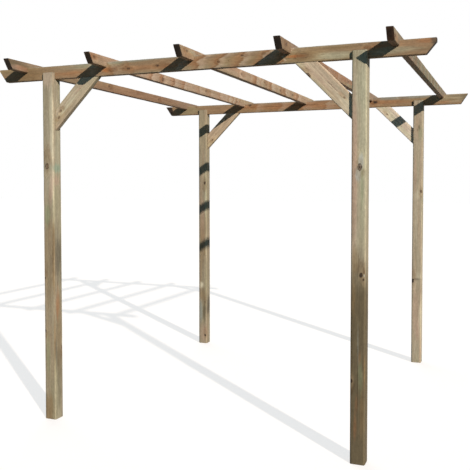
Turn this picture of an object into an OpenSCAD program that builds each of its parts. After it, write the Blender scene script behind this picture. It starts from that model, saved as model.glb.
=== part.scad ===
// Garden pergola: four slotted posts, two beams, five notched rafters and four corner braces.
// Millimetres, +Z up, origin on the ground in the middle of the four posts.
// Left and right are as seen from the front, which faces -Y.

/* [Posts] */
// Width of each square post
post_w = 88; // [76:1:110]
// Height of each post, from its foot to the top of its cheeks
post_height = 2400; // [1900:10:2700]
// Radius of the long rounded corners of a post
post_arris = 10; // [4:1:14]
// Depth of the slot in the post's top that the beam drops into
slot_depth = 46; // [35:1:50]
// Distance between post centres, side to side
bay_width = 2150; // [1600:10:3000]
// Distance between post centres, front to back
bay_depth = 2550; // [1600:10:3400]

/* [Boards] */
// Thickness of the beams, rafters and braces
board_t = 42; // [36:1:48]
// Radius of the long rounded corners of the boards
board_arris = 5; // [2:1:8]
// Angle of the undercut on the beam and rafter ends, from square
end_cut_angle = 33; // [0:1:45]

/* [Beams] */
// How far a beam runs past the middle of a post, to the tip of its top edge
beam_overhang = 425; // [340:5:560]
// Depth of a beam
beam_h = 90; // [86:1:110]

/* [Rafters] */
// How far a rafter runs past the middle of a beam, to the tip of its top edge
rafter_overhang = 225; // [150:5:400]
// Depth of a rafter
rafter_h = 68; // [60:1:90]
// How far the rafters drop over the beams
rafter_notch = 33; // [20:1:35]
// How far the outer rafters stand outside the middle of the posts
outer_rafter = 200; // [60:5:260]

/* [Braces] */
// Distance that a brace reaches down the post and along the beam
brace_reach = 350; // [260:2:420]
// Depth of a brace
brace_h = 100; // [70:1:110]

/* [Hidden] */
// Smoothness of the rounded corners
$fn = 48;
// Margin by which a cutting shape runs past what it cuts
past = 20;
// Heights of the two seats: beam on post, rafter on beam
beam_z = post_height - slot_depth;
rafter_z = beam_z + beam_h - rafter_notch;
// Run of the undercut for each unit of depth
end_slope = tan(end_cut_angle);
// Lengths of a beam and a rafter along the top edge
beam_length = bay_width + 2 * beam_overhang;
rafter_length = bay_depth + 2 * rafter_overhang;
// Rafters stand at equal distances between the two outer ones
rafter_count = 5;
rafter_gap = (bay_width + 2 * outer_rafter) / (rafter_count - 1);
// Colours of the weathered softwood
post_colour = "#a5967a";
beam_colour = "#96734f";
rafter_colour = "#8e6d4b";
brace_colour = "#c3af90";

// Rectangle with rounded corners, centred
module rounded_section(width, depth, radius) {
    square([width - 2 * radius, depth], center = true);
    square([width, depth - 2 * radius], center = true);
    for (x = [-1, 1], y = [-1, 1])
        translate([x * (width / 2 - radius), y * (depth / 2 - radius)])
            circle(radius);
}

// Board along X with rounded corners, standing on edge on z = 0
module board(length, depth) {
    translate([-length / 2, 0, depth / 2])
        rotate([90, 0, 90])
            linear_extrude(length)
                rounded_section(board_t, depth, board_arris);
}

// Board along X whose ends are undercut: the top edge has the given length
module undercut_board(length, depth) {
    top = length / 2 + past * end_slope;
    bottom = length / 2 - (depth + past) * end_slope;
    intersection() {
        board(length + 2 * past, depth);
        rotate([90, 0, 0])
            translate([0, 0, -board_t])
                linear_extrude(2 * board_t)
                    polygon([[-bottom, -past], [bottom, -past], [top, depth + past], [-top, depth + past]]);
    }
}

// Post on its own foot, with the slot for the beam along X
module post(side, row) {
    translate([side * bay_width / 2, row * bay_depth / 2, 0])
        difference() {
            linear_extrude(post_height)
                rounded_section(post_w, post_w, post_arris);
            translate([-post_w, -board_t / 2, beam_z])
                cube([2 * post_w, board_t, slot_depth + past]);
        }
}

// Beam in the slots of one row of posts
module beam(row) {
    translate([0, row * bay_depth / 2, beam_z])
        undercut_board(beam_length, beam_h);
}

// Rafter along Y, notched over both beams
module rafter(number) {
    translate([(number - (rafter_count + 1) / 2) * rafter_gap, 0, rafter_z])
        difference() {
            rotate([0, 0, 90])
                undercut_board(rafter_length, rafter_h);
            for (row = [-1, 1])
                translate([-board_t, row * bay_depth / 2 - board_t / 2, -past])
                    cube([2 * board_t, board_t, rafter_notch + past]);
        }
}

// Brace at 45 degrees between the inner face of a post and the underside of its beam
module brace(side, row) {
    middle = (brace_reach - brace_h / sqrt(2)) / 2;
    inner_face = bay_width / 2 - post_w / 2;
    translate([side * inner_face, row * bay_depth / 2, beam_z])
        mirror([side > 0 ? 1 : 0, 0, 0])
            intersection() {
                translate([middle, 0, -middle])
                    rotate([0, -45, 0])
                        translate([0, 0, -brace_h / 2])
                            board(2 * brace_reach, brace_h);
                translate([0, -board_t, -brace_reach - past])
                    cube([brace_reach + past, 2 * board_t, brace_reach + past]);
            }
}

module front_left_post() { color(post_colour) post(-1, -1); }
module front_right_post() { color(post_colour) post(1, -1); }
module back_left_post() { color(post_colour) post(-1, 1); }
module back_right_post() { color(post_colour) post(1, 1); }
module front_beam() { color(beam_colour) beam(-1); }
module back_beam() { color(beam_colour) beam(1); }
module rafter_1() { color(rafter_colour) rafter(1); }
module rafter_2() { color(rafter_colour) rafter(2); }
module rafter_3() { color(rafter_colour) rafter(3); }
module rafter_4() { color(rafter_colour) rafter(4); }
module rafter_5() { color(rafter_colour) rafter(5); }
module front_left_brace() { color(brace_colour) brace(-1, -1); }
module front_right_brace() { color(brace_colour) brace(1, -1); }
module back_left_brace() { color(brace_colour) brace(-1, 1); }
module back_right_brace() { color(brace_colour) brace(1, 1); }

front_left_post();
front_right_post();
back_left_post();
back_right_post();
front_beam();
back_beam();
rafter_1();
rafter_2();
rafter_3();
rafter_4();
rafter_5();
front_left_brace();
front_right_brace();
back_left_brace();
back_right_brace();
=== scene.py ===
"""Weathered softwood finish for a garden pergola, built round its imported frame."""
import math
import random
from collections import namedtuple

import bmesh
import bpy
from bpy.props import FloatProperty, FloatVectorProperty, PointerProperty
from mathutils import Matrix, Vector, noise


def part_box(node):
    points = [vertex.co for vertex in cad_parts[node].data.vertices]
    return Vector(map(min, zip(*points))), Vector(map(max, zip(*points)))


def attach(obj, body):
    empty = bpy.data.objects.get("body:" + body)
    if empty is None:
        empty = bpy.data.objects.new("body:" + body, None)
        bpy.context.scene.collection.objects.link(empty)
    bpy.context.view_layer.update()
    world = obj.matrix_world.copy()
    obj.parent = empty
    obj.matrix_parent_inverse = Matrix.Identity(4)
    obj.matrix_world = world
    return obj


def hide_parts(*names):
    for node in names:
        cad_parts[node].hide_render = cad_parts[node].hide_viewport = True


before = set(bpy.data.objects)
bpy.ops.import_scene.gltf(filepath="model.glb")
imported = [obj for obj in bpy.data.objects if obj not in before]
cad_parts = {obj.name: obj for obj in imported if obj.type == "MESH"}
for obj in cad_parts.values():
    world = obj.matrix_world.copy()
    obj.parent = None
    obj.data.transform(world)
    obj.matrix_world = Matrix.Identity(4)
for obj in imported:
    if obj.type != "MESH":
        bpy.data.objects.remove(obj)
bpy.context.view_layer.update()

bl_info = {
    "name": "Garden pergola timbers",
    "version": (1, 0, 0),
    "blender": (4, 5, 0),
    "location": "3D View > Sidebar > Pergola",
    "description": "Builds the posts, beams, rafters and braces of a weathered softwood pergola",
    "category": "Object",
}

BODY = "root"

# Seeds of the random draws. All but the screws' add the timber's own number.
KNOT_SEED = 0
CHECK_SEED = 100
BOW_SEED = 200
WOOD_SEED = 300
SCREW_SEED = 400


def srgb(code):
    """Linear colour of a hex code such as #a5967a."""
    parts = [int(code[i:i + 2], 16) / 255 for i in (1, 3, 5)]
    return tuple(p / 12.92 if p <= 0.04045 else ((p + 0.055) / 1.055) ** 2.4 for p in parts)


# Settings a user would change


def size(name, text, default):
    """Setting for a length."""
    return FloatProperty(name=name, description=text, default=default, min=0.0, unit="LENGTH")


def angle(name, text, degrees):
    """Setting for an angle."""
    return FloatProperty(name=name, description=text, default=math.radians(degrees), subtype="ANGLE")


def strength(name, text, default):
    """Setting for the strength of a light."""
    return FloatProperty(name=name, description=text, default=default, min=0.0)


def colour(name, text, code):
    """Setting for a colour."""
    return FloatVectorProperty(name=name, description=text, default=srgb(code), size=3, min=0.0, max=1.0,
                               subtype="COLOR")


class PergolaShape(bpy.types.PropertyGroup):
    """Sizes of the sawn timber that the frame's boxes don't give."""
    post_arris: size("Post arris", "Radius of the rounded long corners of a post", 0.010)
    board_arris: size("Board arris", "Radius of the rounded long corners of a board", 0.005)
    saw_edge: size("Saw edge", "Width of the eased edge round a saw cut", 0.0012)
    brace_depth: size("Brace depth", "Depth of a brace, square to its length", 0.100)
    end_cut: angle("End cut", "Undercut of the beam and rafter ends, from square", 33)
    cut_pitch: size("Cut pitch", "Distance between the mesh's cross cuts", 0.024)
    line_pitch: size("Line pitch", "Distance between the mesh's cuts along the grain", 0.012)
    bow: size("Bow", "Largest bow of a timber from straight", 0.0015)
    wear: size("Wear", "Depth of the wear on the long corners", 0.0012)
    tip_wear: size("Tip wear", "Height of the blunt nose at the top of an undercut end", 0.003)
    check_width: size("Check width", "Half width of a drying check", 0.0011)
    check_depth: size("Check depth", "Depth of a drying check", 0.008)
    knot_rise: size("Knot rise", "How far a knot stands proud", 0.0008)
    screw_head: size("Screw head", "Diameter of a screw's head", 0.0095)
    screw_set: size("Screw set", "Distance of a brace's screws from its tips", 0.060)


class PergolaWood(bpy.types.PropertyGroup):
    """Colours and grain of the weathered softwood."""
    post: colour("Posts", "Face colour of the posts", "#a8977b")
    beam: colour("Beams", "Face colour of the beams", "#96795a")
    rafter: colour("Rafters", "Face colour of the rafters", "#a4866a")
    brace: colour("Braces", "Face colour of the braces", "#bfa98a")
    knot: colour("Knots", "Heart of a knot", "#5f422d")
    rim: colour("Knot rims", "Bark ring of a knot", "#1d1510")
    # The end colour is dark end grain, darkened further by painted shade on the undercut ends
    end: colour("Sawn ends", "Weathered end grain", "#34281d")
    moss: colour("Moss", "Green left by the preservative", "#868a66")
    straw: colour("Straw", "Pale greenish sapwood", "#b3aa8a")
    pink: colour("Pink", "Pinkish heartwood", "#b08e76")
    brown: colour("Brown", "Water and tannin stains", "#80643f")
    olive: colour("Olive", "Damp, darkened wood low on a post", "#61523a")
    dark: colour("Dark", "Mildew and soot in the grain", "#4a4134")
    # Pale is also laid along some post corners as a painted highlight
    pale: colour("Pale", "Fresh or scuffed wood", "#cfbf9e")
    red: colour("Red", "Resin-rich wood", "#a3683c")
    grey: colour("Grey", "Silvered wood", "#8a8676")
    tan: colour("Tan", "Sun-bleached wood", "#a39070")
    rose: colour("Rose", "Pale pinkish wood", "#c4a78c")
    copper: colour("Copper", "Bluish green of the preservative", "#7d937b")
    ash: colour("Ash", "Bleached wood round a dead knot", "#bcbbac")
    zinc: colour("Zinc", "Coating of the screws", "#9a958a")
    rust: colour("Rust", "Rust on the screws", "#5c3a22")
    ring_gap: size("Ring gap", "Mean distance between growth rings", 0.0042)
    grain_height: size("Grain height", "Relief of the grain", 0.0006)


class PergolaStage(bpy.types.PropertyGroup):
    """Camera and studio light."""
    sun: strength("Key", "Strength of the key light", 4.3)
    sun_soft: angle("Key size", "Angular size of the key light", 0.8)
    back: strength("Back", "Strength of the soft light from behind", 1.8)
    back_soft: angle("Back size", "Angular size of the soft light from behind", 50)
    fill: strength("Fill", "Strength of the even light all round", 0.29)
    lens: FloatProperty(name="Lens", description="Focal length on a 36 mm sensor", default=53.76, min=1.0,
                        subtype="DISTANCE_CAMERA")


# Timbers and the marks on them


class Timber:
    """One piece of wood: its node, its own axes with x along the grain, and its side outline."""

    def __init__(self, node, kind, origin, axes, outline, thick, depth, arris, faces):
        self.node = node
        self.kind = kind
        self.outline = outline
        self.thick = thick
        self.depth = depth
        self.arris = arris
        self.faces = faces
        turn = Matrix(axes).transposed()
        self.matrix = Matrix.Translation(origin) @ turn.to_4x4()
        self.turn = turn.to_euler("XYZ")
        self.origin = Vector(origin)
        self.grain = Vector(axes[0])
        self.seed = sorted(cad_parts).index(node)
        self.start = min(x for x, z in outline)
        self.stop = max(x for x, z in outline)
        chance = random.Random(BOW_SEED + self.seed)
        self.bend = Vector((0, chance.uniform(-1, 1), chance.uniform(-1, 1)))

    def bow(self, along, shape):
        """How far the timber is out of straight at a distance along it."""
        return self.bend * shape.bow * math.sin(math.pi * (along - self.start) / (self.stop - self.start))

    def out(self, face):
        """Outward direction of a face."""
        return Vector(self.faces[face])

    def side(self, face):
        """Direction across a face, square to the grain."""
        out = self.out(face)
        return Vector((0, abs(out.z), abs(out.y)))

    def half(self, face):
        """Distance from the centreline to a face."""
        return self.thick / 2 if self.faces[face][1] else self.depth / 2

    def width(self, face):
        """Distance across a face."""
        return self.depth if self.faces[face][1] else self.thick

    def place(self, along, face, across):
        """Point on a face, in the timber's own axes."""
        return Vector((along, 0, 0)) + self.out(face) * self.half(face) + self.side(face) * across


# Outward directions of the long faces, in the timbers' own axes
POST_FACES = {"front": (0, 0, -1), "back": (0, 0, 1), "right": (0, 1, 0), "left": (0, -1, 0)}
BEAM_FACES = {"front": (0, -1, 0), "back": (0, 1, 0), "top": (0, 0, 1), "under": (0, 0, -1)}
RAFTER_FACES = {"right": (0, -1, 0), "left": (0, 1, 0), "top": (0, 0, 1), "under": (0, 0, -1)}
LEFT_BRACE_FACES = BEAM_FACES
RIGHT_BRACE_FACES = {"front": (0, 1, 0), "back": (0, -1, 0), "top": (0, 0, 1), "under": (0, 0, -1)}

# Faces whose knots are drawn at random
HIDDEN_FACES = {"post": ("back", "left"), "beam": ("back", "top", "under"), "rafter": ("left", "top"),
                "brace": ("back", "under")}

# Knots: distance along, face, distance across, radius, lean of the branch along the grain, share rotted out
KNOTS = {
    "front_left_post": [
        (1.757, "front", -0.010, 0.014, 0.2, 0.2), (0.985, "front", -0.034, 0.007, 0.0, 0.8),
        (0.615, "front", -0.034, 0.006, 0.0, 0.7), (0.491, "right", 0.030, 0.007, 0.0, 0.3),
    ],
    "front_right_post": [
        (1.729, "front", 0.006, 0.013, 0.3, 0.45), (1.108, "front", 0.018, 0.009, 0.2, 1.0),
        (1.084, "front", 0.031, 0.006, 0.0, 0.8), (0.490, "front", -0.036, 0.008, 0.0, 0.8),
    ],
    "back_left_post": [
        (1.652, "front", 0.024, 0.012, 0.1, 0.8), (0.086, "front", 0.028, 0.009, 0.0, 0.8),
        (0.430, "front", 0.026, 0.006, 0.0, 0.2),
    ],
    "back_right_post": [
        (1.572, "front", 0.034, 0.010, 0.2, 0.5), (0.755, "front", -0.036, 0.012, 0.0, 1.0),
    ],
    "front_beam": [
        (-0.565, "front", -0.007, 0.011, -2.2, 0.0), (-0.452, "front", -0.007, 0.007, 0.2, 0.5),
        (-0.237, "front", -0.003, 0.009, 0.2, 0.6), (0.190, "front", -0.006, 0.007, 0.5, 0.2),
        (0.348, "front", 0.022, 0.006, 0.8, 0.3), (0.485, "front", 0.026, 0.007, 1.4, 0.2),
        (0.718, "front", -0.007, 0.014, 3.0, 0.0), (1.113, "front", 0.014, 0.011, 1.5, 0.3),
    ],
    "back_beam": [
        (-0.564, "front", 0.024, 0.010, 0.4, 0.6), (0.679, "front", 0.004, 0.012, 0.6, 0.8),
        (-0.046, "front", 0.010, 0.009, 0.3, 0.2),
    ],
    "rafter_1": [
        (-0.250, "right", 0.010, 0.008, 0.4, 0.2), (0.620, "right", -0.006, 0.009, 0.5, 0.2),
    ],
    "rafter_2": [
        (-1.450, "right", 0.008, 0.010, 0.8, 0.3), (-0.790, "right", 0.006, 0.010, 0.3, 0.2),
        (-0.505, "right", -0.004, 0.013, 0.4, 0.1), (0.300, "right", 0.004, 0.008, 0.4, 0.2),
        (1.030, "right", -0.008, 0.009, 0.2, 0.2),
    ],
    "rafter_3": [
        (-1.400, "right", 0.010, 0.008, 0.3, 0.3), (-0.470, "right", 0.004, 0.009, 0.3, 0.3),
        (0.040, "right", 0.012, 0.008, 0.2, 0.2), (0.440, "right", -0.004, 0.010, 0.4, 0.2),
        (0.800, "right", 0.002, 0.009, 0.2, 0.2),
    ],
    "rafter_4": [
        (-1.390, "right", 0.004, 0.009, 0.5, 0.3), (-0.700, "right", -0.006, 0.010, 0.3, 0.2),
        (0.220, "right", 0.006, 0.009, 0.4, 0.2),
    ],
    "rafter_5": [
        (-1.440, "right", -0.006, 0.009, 0.3, 0.3), (-0.600, "right", 0.008, 0.010, 0.5, 0.2),
        (0.350, "right", -0.008, 0.009, 0.2, 0.2),
    ],
    "front_left_brace": [
        (-0.165, "front", -0.012, 0.008, 0.5, 0.0), (-0.125, "front", 0.010, 0.007, 0.7, 0.0),
    ],
    "front_right_brace": [
        (0.130, "front", -0.042, 0.009, 0.5, 0.4), (-0.120, "front", 0.010, 0.005, 0.2, 0.3),
    ],
    "back_left_brace": [
        (-0.150, "front", -0.030, 0.008, 0.5, 0.3), (0.105, "front", 0.010, 0.007, 0.3, 0.2),
    ],
    "back_right_brace": [
        (0.120, "front", -0.020, 0.006, 0.3, 0.2),
    ],
}

# Banded grain: start, stop, length of a band, lean of the bands, strength
BANDS = {
    "front_beam": [
        (-0.080, 0.640, 0.140, 0.9, 0.72), (-0.760, -0.420, 0.170, -0.6, 0.40),
    ],
    "back_beam": [
        (-0.500, 0.700, 0.240, 0.5, 0.40),
    ],
    "rafter_2": [
        (-0.850, -0.060, 0.180, 0.3, 0.70), (0.750, 1.110, 0.090, 0.2, 0.70),
        (-0.060, 0.750, 0.230, 0.3, 0.35),
    ],
    "rafter_3": [
        (-0.530, 1.080, 0.370, 0.2, 0.75), (-0.300, 0.900, 0.130, 0.2, 0.35),
    ],
    "rafter_4": [
        (-1.000, 1.000, 0.290, 0.3, 0.30),
    ],
    "rafter_5": [
        (-0.800, 1.000, 0.210, 0.3, 0.35),
    ],
}

# Stains: distance along, face, distance across, half length, half width, tint, strength,
# and the core, which is the share at full strength
STAINS = {
    "front_left_post": [
        (1.10, "front", 0.000, 0.50, 0.060, "brown", 0.46, 0.4),
        (1.12, "front", 0.038, 0.34, 0.014, "brown", 0.60, 0.4),
        (0.62, "front", 0.040, 0.30, 0.012, "brown", 0.50, 0.4),
        (0.45, "front", 0.000, 0.40, 0.060, "brown", 0.30, 0.4),
        # The pale strips on the front right corner at 2.05 m and 1.62 m are a painted highlight
        (2.05, "front", 0.028, 0.42, 0.022, "pale", 0.60, 0.3),
        (1.62, "front", 0.034, 0.25, 0.020, "pale", 0.45, 0.2),
        (1.76, "front", -0.030, 0.05, 0.018, "grey", 0.55, 0.2),
        (1.56, "front", 0.020, 0.10, 0.020, "pink", 0.65, 0.2),
        (1.42, "front", -0.010, 0.10, 0.034, "moss", 0.60, 0.2),
        (0.45, "front", -0.012, 0.22, 0.024, "moss", 0.40, 0.2),
        (0.06, "front", -0.010, 0.16, 0.060, "brown", 0.70, 0.4),
        (1.745, "right", 0.000, 0.045, 0.060, "copper", 0.75, 0.3),
        (1.66, "right", -0.010, 0.05, 0.050, "pink", 0.60, 0.3),
        # Painted highlight on the front right corner
        (1.84, "front", 0.036, 0.06, 0.014, "pale", 0.80, 0.3),
        (1.63, "front", 0.028, 0.11, 0.020, "rose", 0.60, 0.2),
        (1.14, "right", 0.000, 0.26, 0.060, "dark", 0.60, 0.2),
        (0.62, "right", 0.004, 0.42, 0.050, "brown", 0.50, 0.3),
        (0.80, "right", -0.010, 0.16, 0.030, "red", 0.50, 0.2),
        (0.44, "right", -0.030, 0.16, 0.016, "dark", 0.60, 0.2),
        # Painted highlight on the back corner of the right face, in the ash colour
        (0.52, "right", 0.040, 0.05, 0.012, "ash", 0.80, 0.3),
        (2.36, "front", 0.000, 0.09, 0.060, "rose", 0.50, 0.4),
        (0.30, "right", 0.010, 0.30, 0.040, "olive", 0.40, 0.3),
        (1.95, "right", 0.000, 0.40, 0.040, "straw", 0.40, 0.3),
    ],
    "front_right_post": [
        (1.85, "front", 0.026, 0.75, 0.030, "straw", 0.60, 0.4),
        (1.75, "front", -0.030, 0.70, 0.030, "pink", 0.75, 0.4),
        (2.20, "front", 0.000, 0.20, 0.050, "straw", 0.40, 0.3),
        (1.62, "front", 0.020, 0.20, 0.012, "moss", 0.45, 0.3),
        (1.76, "front", 0.014, 0.055, 0.024, "ash", 0.85, 0.3),
        (1.69, "front", -0.004, 0.05, 0.022, "ash", 0.75, 0.2),
        (-0.40, "front", 0.000, 1.72, 0.300, "olive", 0.97, 0.8),
        (1.20, "front", -0.020, 0.10, 0.030, "brown", 0.45, 0.3),
        (0.53, "front", 0.018, 0.16, 0.022, "moss", 0.40, 0.2),
        (0.56, "front", 0.042, 0.14, 0.014, "brown", 0.45, 0.2),
        (0.98, "front", -0.026, 0.22, 0.014, "brown", 0.45, 0.3),
        (0.30, "front", 0.026, 0.20, 0.016, "brown", 0.40, 0.3),
        (0.63, "front", 0.012, 0.06, 0.014, "red", 0.20, 0.2),
        (0.36, "front", -0.006, 0.08, 0.014, "red", 0.22, 0.2),
        (0.22, "front", -0.014, 0.12, 0.014, "red", 0.30, 0.2),
        (0.70, "front", 0.002, 0.16, 0.010, "grey", 0.35, 0.2),
        (1.108, "front", 0.036, 0.012, 0.006, "ash", 0.70, 0.3),
    ],
    "back_left_post": [
        (2.20, "front", 0.000, 0.34, 0.060, "tan", 0.60, 0.4),
        (0.50, "front", 0.000, 0.10, 0.050, "brown", 0.50, 0.3),
        (0.605, "front", -0.012, 0.045, 0.032, "pale", 0.80, 0.3),
        (0.33, "front", -0.022, 0.15, 0.030, "grey", 0.90, 0.4),
        (0.33, "front", 0.020, 0.15, 0.024, "olive", 0.70, 0.3),
        (0.38, "right", 0.000, 0.14, 0.060, "dark", 0.75, 0.3),
        (1.20, "front", 0.000, 0.34, 0.034, "pink", 0.55, 0.3),
        (0.95, "front", 0.026, 0.08, 0.014, "brown", 0.60, 0.3),
        (0.98, "front", 0.000, 0.28, 0.060, "brown", 0.35, 0.3),
        (0.10, "front", 0.010, 0.14, 0.050, "pink", 0.50, 0.3),
        (0.80, "front", -0.020, 0.30, 0.020, "brown", 0.35, 0.3),
        # The thin straw and pale strips on the front right corner at 1.55 m and 1.00 m are a painted
        # highlight
        (1.55, "front", 0.034, 0.40, 0.012, "straw", 0.60, 0.3),
        (1.00, "front", 0.036, 0.20, 0.012, "pale", 0.35, 0.3),
        (1.20, "front", 0.000, 0.20, 0.060, "brown", 0.34, 0.4),
    ],
    "back_right_post": [
        (0.77, "front", 0.000, 0.016, 0.060, "dark", 0.60, 0.2),
        (0.80, "front", 0.020, 0.05, 0.050, "pale", 0.35, 0.2),
        (1.54, "front", 0.010, 0.05, 0.050, "pale", 0.40, 0.2),
        (0.30, "front", 0.017, 0.14, 0.022, "pink", 0.60, 0.3),
        (0.48, "front", -0.005, 0.36, 0.045, "pink", 0.55, 0.3),
        (0.42, "right", -0.030, 0.30, 0.040, "pale", 0.55, 0.3),
        (2.10, "front", 0.020, 0.12, 0.030, "moss", 0.50, 0.2),
        (2.155, "front", 0.010, 0.030, 0.014, "olive", 0.60, 0.2),
        (2.130, "front", -0.004, 0.030, 0.014, "olive", 0.50, 0.2),
        (1.75, "front", -0.020, 0.24, 0.022, "pink", 0.50, 0.3),
    ],
    "front_beam": [
        (-1.32, "front", 0.000, 0.24, 0.060, "olive", 0.30, 0.3),
        (-1.24, "front", -0.004, 0.16, 0.050, "brown", 0.50, 0.3),
        (-0.90, "front", -0.012, 0.24, 0.022, "red", 0.45, 0.2),
        (-0.80, "front", 0.024, 0.30, 0.018, "straw", 0.35, 0.2),
        (-0.61, "front", -0.010, 0.07, 0.018, "red", 0.95, 0.3),
        (-0.30, "front", -0.010, 0.34, 0.024, "red", 0.30, 0.2),
        (0.60, "front", 0.026, 0.22, 0.018, "tan", 0.55, 0.2),
        (0.10, "front", -0.030, 0.30, 0.012, "tan", 0.50, 0.2),
        (0.54, "front", 0.004, 0.07, 0.030, "pink", 0.55, 0.2),
        (0.70, "front", -0.006, 0.09, 0.014, "red", 0.85, 0.3),
        (0.92, "front", -0.016, 0.20, 0.028, "straw", 0.60, 0.3),
        (0.95, "front", 0.024, 0.16, 0.012, "brown", 0.50, 0.2),
        (1.16, "front", 0.014, 0.10, 0.012, "red", 0.50, 0.2),
        (1.30, "front", -0.014, 0.26, 0.030, "olive", 0.30, 0.3),
        (1.25, "front", -0.010, 0.20, 0.030, "straw", 0.40, 0.3),
        (1.44, "front", 0.030, 0.07, 0.020, "red", 0.45, 0.3),
        (1.49, "front", 0.030, 0.030, 0.040, "dark", 0.75, 0.3),
        (-0.60, "front", 0.042, 0.60, 0.016, "grey", 0.60, 0.3),
        (-0.70, "front", 0.030, 0.30, 0.020, "moss", 0.30, 0.2),
        (0.20, "front", 0.046, 1.60, 0.012, "grey", 0.55, 0.2),
        (0.00, "front", -0.046, 1.60, 0.010, "pale", 0.50, 0.2),
    ],
    "back_beam": [
        (-0.20, "front", 0.000, 0.80, 0.040, "red", 0.45, 0.3),
        (0.80, "front", -0.004, 0.30, 0.026, "red", 0.40, 0.2),
        (-1.25, "front", 0.000, 0.20, 0.060, "moss", 0.35, 0.3),
        # Near-black patch on the front face at the left tip, in the knot rim colour
        (-1.47, "front", 0.010, 0.055, 0.060, "rim", 0.95, 0.7),
        (1.36, "front", 0.010, 0.20, 0.060, "straw", 0.30, 0.4),
        (1.36, "front", -0.006, 0.10, 0.012, "brown", 0.60, 0.2),
        (1.40, "front", 0.026, 0.08, 0.010, "olive", 0.40, 0.2),
        (1.48, "front", 0.000, 0.06, 0.060, "olive", 0.45, 0.3),
        (1.30, "front", -0.022, 0.09, 0.018, "red", 0.45, 0.2),
        (0.00, "front", 0.046, 1.60, 0.018, "grey", 0.60, 0.2),
        (0.80, "front", 0.046, 0.60, 0.034, "grey", 0.70, 0.5),
        (0.30, "front", 0.010, 0.20, 0.020, "tan", 0.40, 0.2),
    ],
    "rafter_1": [
        (-1.44, "right", 0.000, 0.20, 0.060, "olive", 0.62, 0.4),
        (-1.40, "right", -0.014, 0.12, 0.024, "pink", 0.65, 0.3),
        (-1.36, "right", -0.012, 0.12, 0.026, "red", 0.40, 0.2),
        (0.20, "right", 0.000, 1.20, 0.060, "red", 0.25, 0.4),
        (-0.60, "right", 0.010, 0.20, 0.020, "tan", 0.40, 0.2),
    ],
    "rafter_2": [
        (-1.42, "right", 0.000, 0.14, 0.060, "brown", 0.22, 0.4),
        (-1.45, "right", 0.010, 0.07, 0.030, "red", 0.55, 0.2),
        (-0.52, "right", 0.000, 0.03, 0.030, "red", 0.60, 0.3),
        (0.90, "right", -0.010, 0.20, 0.030, "pale", 0.35, 0.2),
        (0.40, "right", 0.014, 0.30, 0.016, "brown", 0.40, 0.2),
    ],
    "rafter_3": [
        (0.30, "right", 0.000, 0.90, 0.060, "tan", 0.40, 0.4),
        (-1.42, "right", 0.000, 0.14, 0.060, "brown", 0.22, 0.4),
        (-1.40, "right", 0.000, 0.12, 0.050, "red", 0.25, 0.3),
        (-1.34, "right", 0.014, 0.10, 0.016, "straw", 0.40, 0.2),
    ],
    "rafter_4": [
        (-0.20, "right", 0.000, 1.10, 0.060, "red", 0.35, 0.4),
        (0.35, "right", -0.020, 0.50, 0.020, "moss", 0.45, 0.2),
        (-1.40, "right", 0.000, 0.18, 0.060, "brown", 0.45, 0.4),
    ],
    "rafter_5": [
        (0.10, "right", 0.000, 1.30, 0.060, "moss", 0.40, 0.4),
        (0.20, "right", 0.000, 1.30, 0.060, "dark", 0.25, 0.5),
        (0.60, "right", 0.012, 0.50, 0.010, "dark", 0.35, 0.2),
        (-1.42, "right", 0.000, 0.14, 0.050, "tan", 0.40, 0.4),
        (-1.40, "right", -0.010, 0.10, 0.030, "red", 0.35, 0.2),
    ],
    "front_left_brace": [
        (-0.12, "front", -0.030, 0.16, 0.022, "brown", 0.40, 0.2),
        (0.00, "front", 0.010, 0.10, 0.030, "pale", 0.40, 0.2),
        (0.02, "front", 0.022, 0.18, 0.007, "brown", 0.40, 0.2),
        (-0.05, "front", -0.010, 0.16, 0.008, "pale", 0.55, 0.2),
        (0.08, "front", 0.004, 0.12, 0.010, "pink", 0.55, 0.2),
    ],
    "front_right_brace": [
        (0.00, "front", 0.000, 0.32, 0.070, "rose", 0.35, 0.4),
        (0.10, "front", -0.020, 0.14, 0.030, "pink", 0.45, 0.2),
        (-0.10, "front", 0.030, 0.12, 0.026, "straw", 0.25, 0.2),
        (0.02, "front", 0.010, 0.20, 0.008, "pink", 0.55, 0.2),
        (-0.06, "front", -0.024, 0.18, 0.008, "brown", 0.30, 0.2),
        (-0.20, "front", 0.000, 0.16, 0.050, "pale", 0.55, 0.3),
    ],
    "back_left_brace": [
        (0.00, "front", 0.000, 0.30, 0.060, "pink", 0.50, 0.4),
    ],
    "back_right_brace": [
        (-0.08, "front", 0.010, 0.08, 0.030, "pink", 0.45, 0.2),
        (0.10, "front", 0.000, 0.10, 0.040, "pale", 0.35, 0.2),
    ],
}

# Lightness and warmth of each timber, as factors on its kind's colour
TONES = {
    "front_left_post": (0.88, 0.88, 0.88), "front_right_post": (0.98, 0.99, 0.98),
    "back_left_post": (0.79, 0.77, 0.75), "back_right_post": (0.98, 0.97, 0.98),
    "front_beam": (0.96, 0.96, 0.94), "back_beam": (0.95, 0.90, 0.86),
    "rafter_1": (0.68, 0.67, 0.67), "rafter_2": (1.02, 1.04, 1.06), "rafter_3": (1.00, 1.02, 1.02),
    "rafter_4": (0.76, 0.76, 0.80), "rafter_5": (0.60, 0.64, 0.66),
    "front_left_brace": (0.90, 0.90, 0.90), "front_right_brace": (1.02, 1.02, 1.02),
    "back_left_brace": (1.00, 0.94, 0.88), "back_right_brace": (1.16, 1.20, 1.32),
}

# Tone of the sawn ends, where they differ; the end colour they scale holds painted shade
END_TONES = {"rafter_5": (1.7, 1.25, 1.0), "rafter_2": (1.2, 1.1, 0.8)}

# Random knots: most of them, distances along, share of a face's width, then size, lean and rot
MOST_HIDDEN_KNOTS = 5
FIRST_KNOT = (0.15, 0.40)
NEXT_KNOT = (0.35, 0.75)
LAST_KNOT = 0.12
KNOT_ACROSS = 0.28
KNOT_RADIUS = (0.006, 0.012)
KNOT_LEAN = (0.0, 0.6)
KNOT_DECAY = (0.1, 0.3, 0.8)

Knot = namedtuple("Knot", "place direction radius face decay")


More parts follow.
